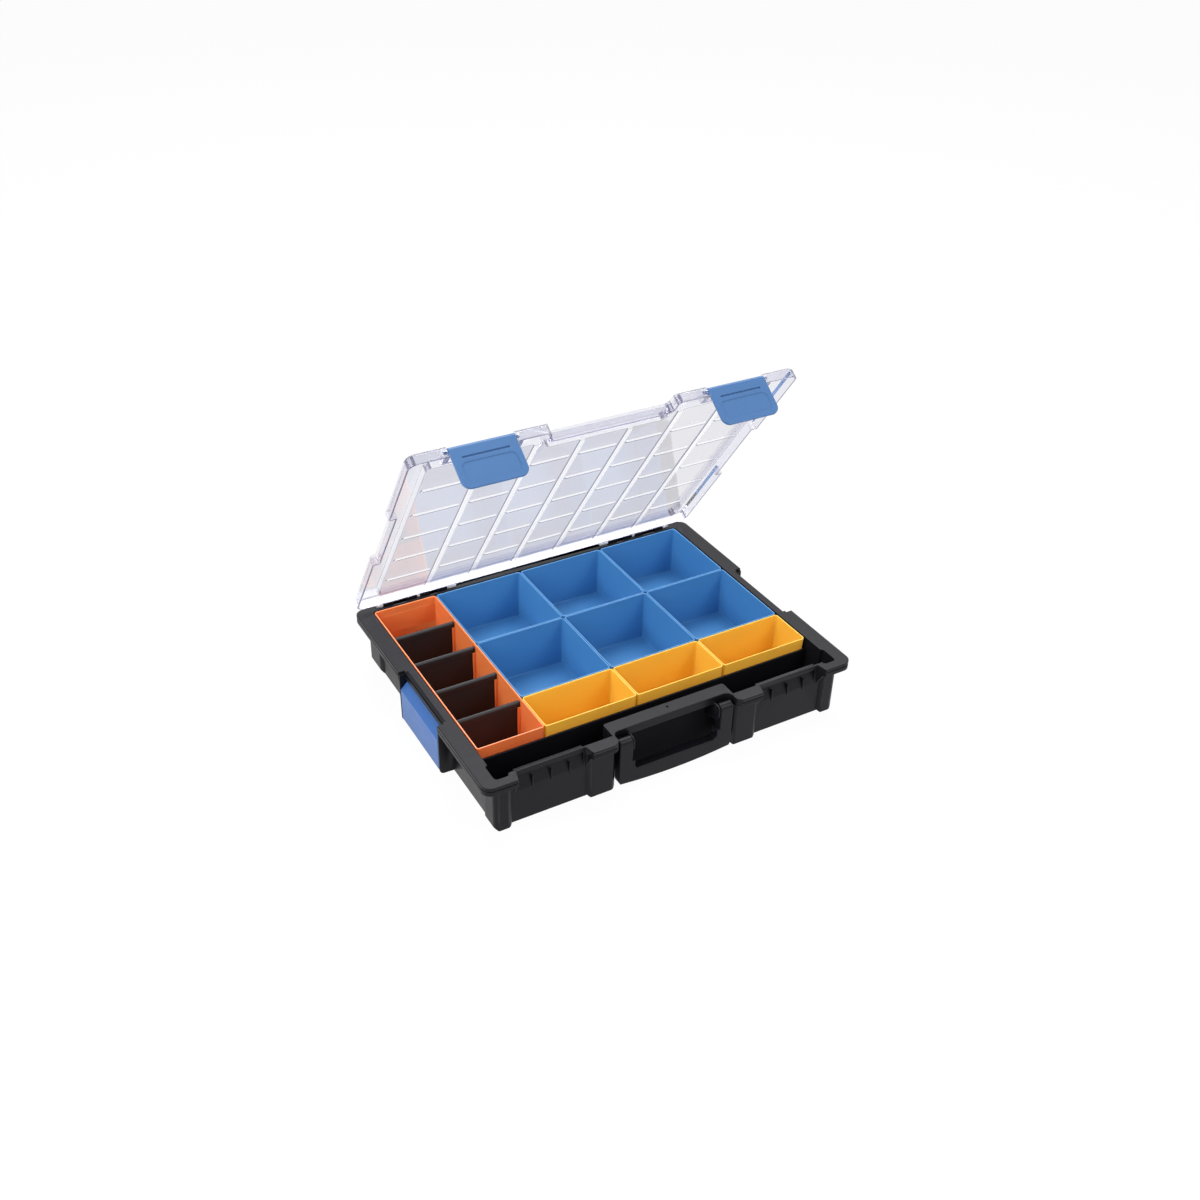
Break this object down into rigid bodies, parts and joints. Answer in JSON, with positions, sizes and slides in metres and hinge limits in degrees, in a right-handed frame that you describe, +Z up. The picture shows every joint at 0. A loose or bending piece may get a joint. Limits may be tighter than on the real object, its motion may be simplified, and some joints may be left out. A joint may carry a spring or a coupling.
{
  "type": "compartment organiser case",
  "caption": "Flat portable organiser case with a clear ribbed hinged lid, front latches, folding carry handle, side stacking clips and lift-out compartment bins.",
  "frame": {"origin": "middle of the case's footprint, on the surface that the feet stand on", "axes": "+X to the right seen from the front, +Y towards the hinge, -Y the handle side, +Z up"},
  "size_m": [0.438, 0.3403, 0.3471],
  "materials": {
    "tray_black": "charcoal black moulded polypropylene with a fine texture",
    "lid_clear": "clear moulded polycarbonate",
    "latch_blue": "blue moulded polypropylene",
    "bin_blue": "satin blue moulded polypropylene",
    "bin_yellow": "satin yellow moulded polypropylene",
    "bin_orange": "satin orange moulded polypropylene",
    "divider_black": "black moulded polypropylene",
    "pin_steel": "plain steel wire"
  },
  "bodies": {
    "base": {"base_tray": "tray_black", "left_hinge_pin": "pin_steel", "right_hinge_pin": "pin_steel"},
    "lid": {"lid": "lid_clear"},
    "left_latch": {"left_latch": "latch_blue"},
    "right_latch": {"right_latch": "latch_blue"},
    "handle": {"carry_handle": "tray_black"},
    "left_clip": {"left_side_clip": "latch_blue"},
    "right_clip": {"right_side_clip": "latch_blue"},
    "long_bin": {"orange_long_bin": "bin_orange"},
    "divider_1": {"divider_1": "divider_black"},
    "divider_2": {"divider_2": "divider_black"},
    "divider_3": {"divider_3": "divider_black"},
    "divider_4": {"divider_4": "divider_black"},
    "blue_back_left": {"blue_bin_back_left": "bin_blue"},
    "blue_back_middle": {"blue_bin_back_middle": "bin_blue"},
    "blue_back_right": {"blue_bin_back_right": "bin_blue"},
    "blue_front_left": {"blue_bin_front_left": "bin_blue"},
    "blue_front_middle": {"blue_bin_front_middle": "bin_blue"},
    "blue_front_right": {"blue_bin_front_right": "bin_blue"},
    "yellow_left": {"yellow_bin_left": "bin_yellow"},
    "yellow_middle": {"yellow_bin_middle": "bin_yellow"},
    "yellow_right": {"yellow_bin_right": "bin_yellow"}
  },
  "joints": [
    {"name": "lid_hinge", "type": "hinge", "parent": "base", "child": "lid", "pos_m": [0, 0.1664, 0.0679], "axis": [-1, 0, 0], "range_deg": [-55, 55]},
    {"name": "left_latch_hinge", "type": "hinge", "parent": "lid", "child": "left_latch", "pos_m": [-0.1425, -0.02032, 0.34258], "axis": [-1, 0, 0], "range_deg": [-8, 100]},
    {"name": "right_latch_hinge", "type": "hinge", "parent": "lid", "child": "right_latch", "pos_m": [0.1425, -0.02032, 0.34258], "axis": [-1, 0, 0], "range_deg": [-8, 100]},
    {"name": "handle_hinge", "type": "hinge", "parent": "base", "child": "handle", "pos_m": [0, -0.1591, 0.055], "axis": [-1, 0, 0], "range_deg": [0, 95]},
    {"name": "left_clip_hinge", "type": "hinge", "parent": "base", "child": "left_clip", "pos_m": [-0.2093, -0.009, 0.0115], "axis": [0, -1, 0], "range_deg": [0, 90]},
    {"name": "right_clip_hinge", "type": "hinge", "parent": "base", "child": "right_clip", "pos_m": [0.2093, -0.009, 0.0115], "axis": [0, 1, 0], "range_deg": [0, 90]},
    {"name": "long_bin_lift", "type": "slide", "parent": "base", "child": "long_bin", "axis": [0, 0, 1], "range_m": [0, 0.016]},
    {"name": "divider_1_lift", "type": "slide", "parent": "long_bin", "child": "divider_1", "axis": [0, 0, 1], "range_m": [0, 0.062]},
    {"name": "divider_2_lift", "type": "slide", "parent": "long_bin", "child": "divider_2", "axis": [0, 0, 1], "range_m": [0, 0.062]},
    {"name": "divider_3_lift", "type": "slide", "parent": "long_bin", "child": "divider_3", "axis": [0, 0, 1], "range_m": [0, 0.062]},
    {"name": "divider_4_lift", "type": "slide", "parent": "long_bin", "child": "divider_4", "axis": [0, 0, 1], "range_m": [0, 0.062]},
    {"name": "blue_back_left_lift", "type": "slide", "parent": "base", "child": "blue_back_left", "axis": [0, 0, 1], "range_m": [0, 0.016]},
    {"name": "blue_back_middle_lift", "type": "slide", "parent": "base", "child": "blue_back_middle", "axis": [0, 0, 1], "range_m": [0, 0.016]},
    {"name": "blue_back_right_lift", "type": "slide", "parent": "base", "child": "blue_back_right", "axis": [0, 0, 1], "range_m": [0, 0.016]},
    {"name": "blue_front_left_lift", "type": "slide", "parent": "base", "child": "blue_front_left", "axis": [0, 0, 1], "range_m": [0, 0.08]},
    {"name": "blue_front_middle_lift", "type": "slide", "parent": "base", "child": "blue_front_middle", "axis": [0, 0, 1], "range_m": [0, 0.08]},
    {"name": "blue_front_right_lift", "type": "slide", "parent": "base", "child": "blue_front_right", "axis": [0, 0, 1], "range_m": [0, 0.08]},
    {"name": "yellow_left_lift", "type": "slide", "parent": "base", "child": "yellow_left", "axis": [0, 0, 1], "range_m": [0, 0.08]},
    {"name": "yellow_middle_lift", "type": "slide", "parent": "base", "child": "yellow_middle", "axis": [0, 0, 1], "range_m": [0, 0.08]},
    {"name": "yellow_right_lift", "type": "slide", "parent": "base", "child": "yellow_right", "axis": [0, 0, 1], "range_m": [0, 0.08]}
  ]
}
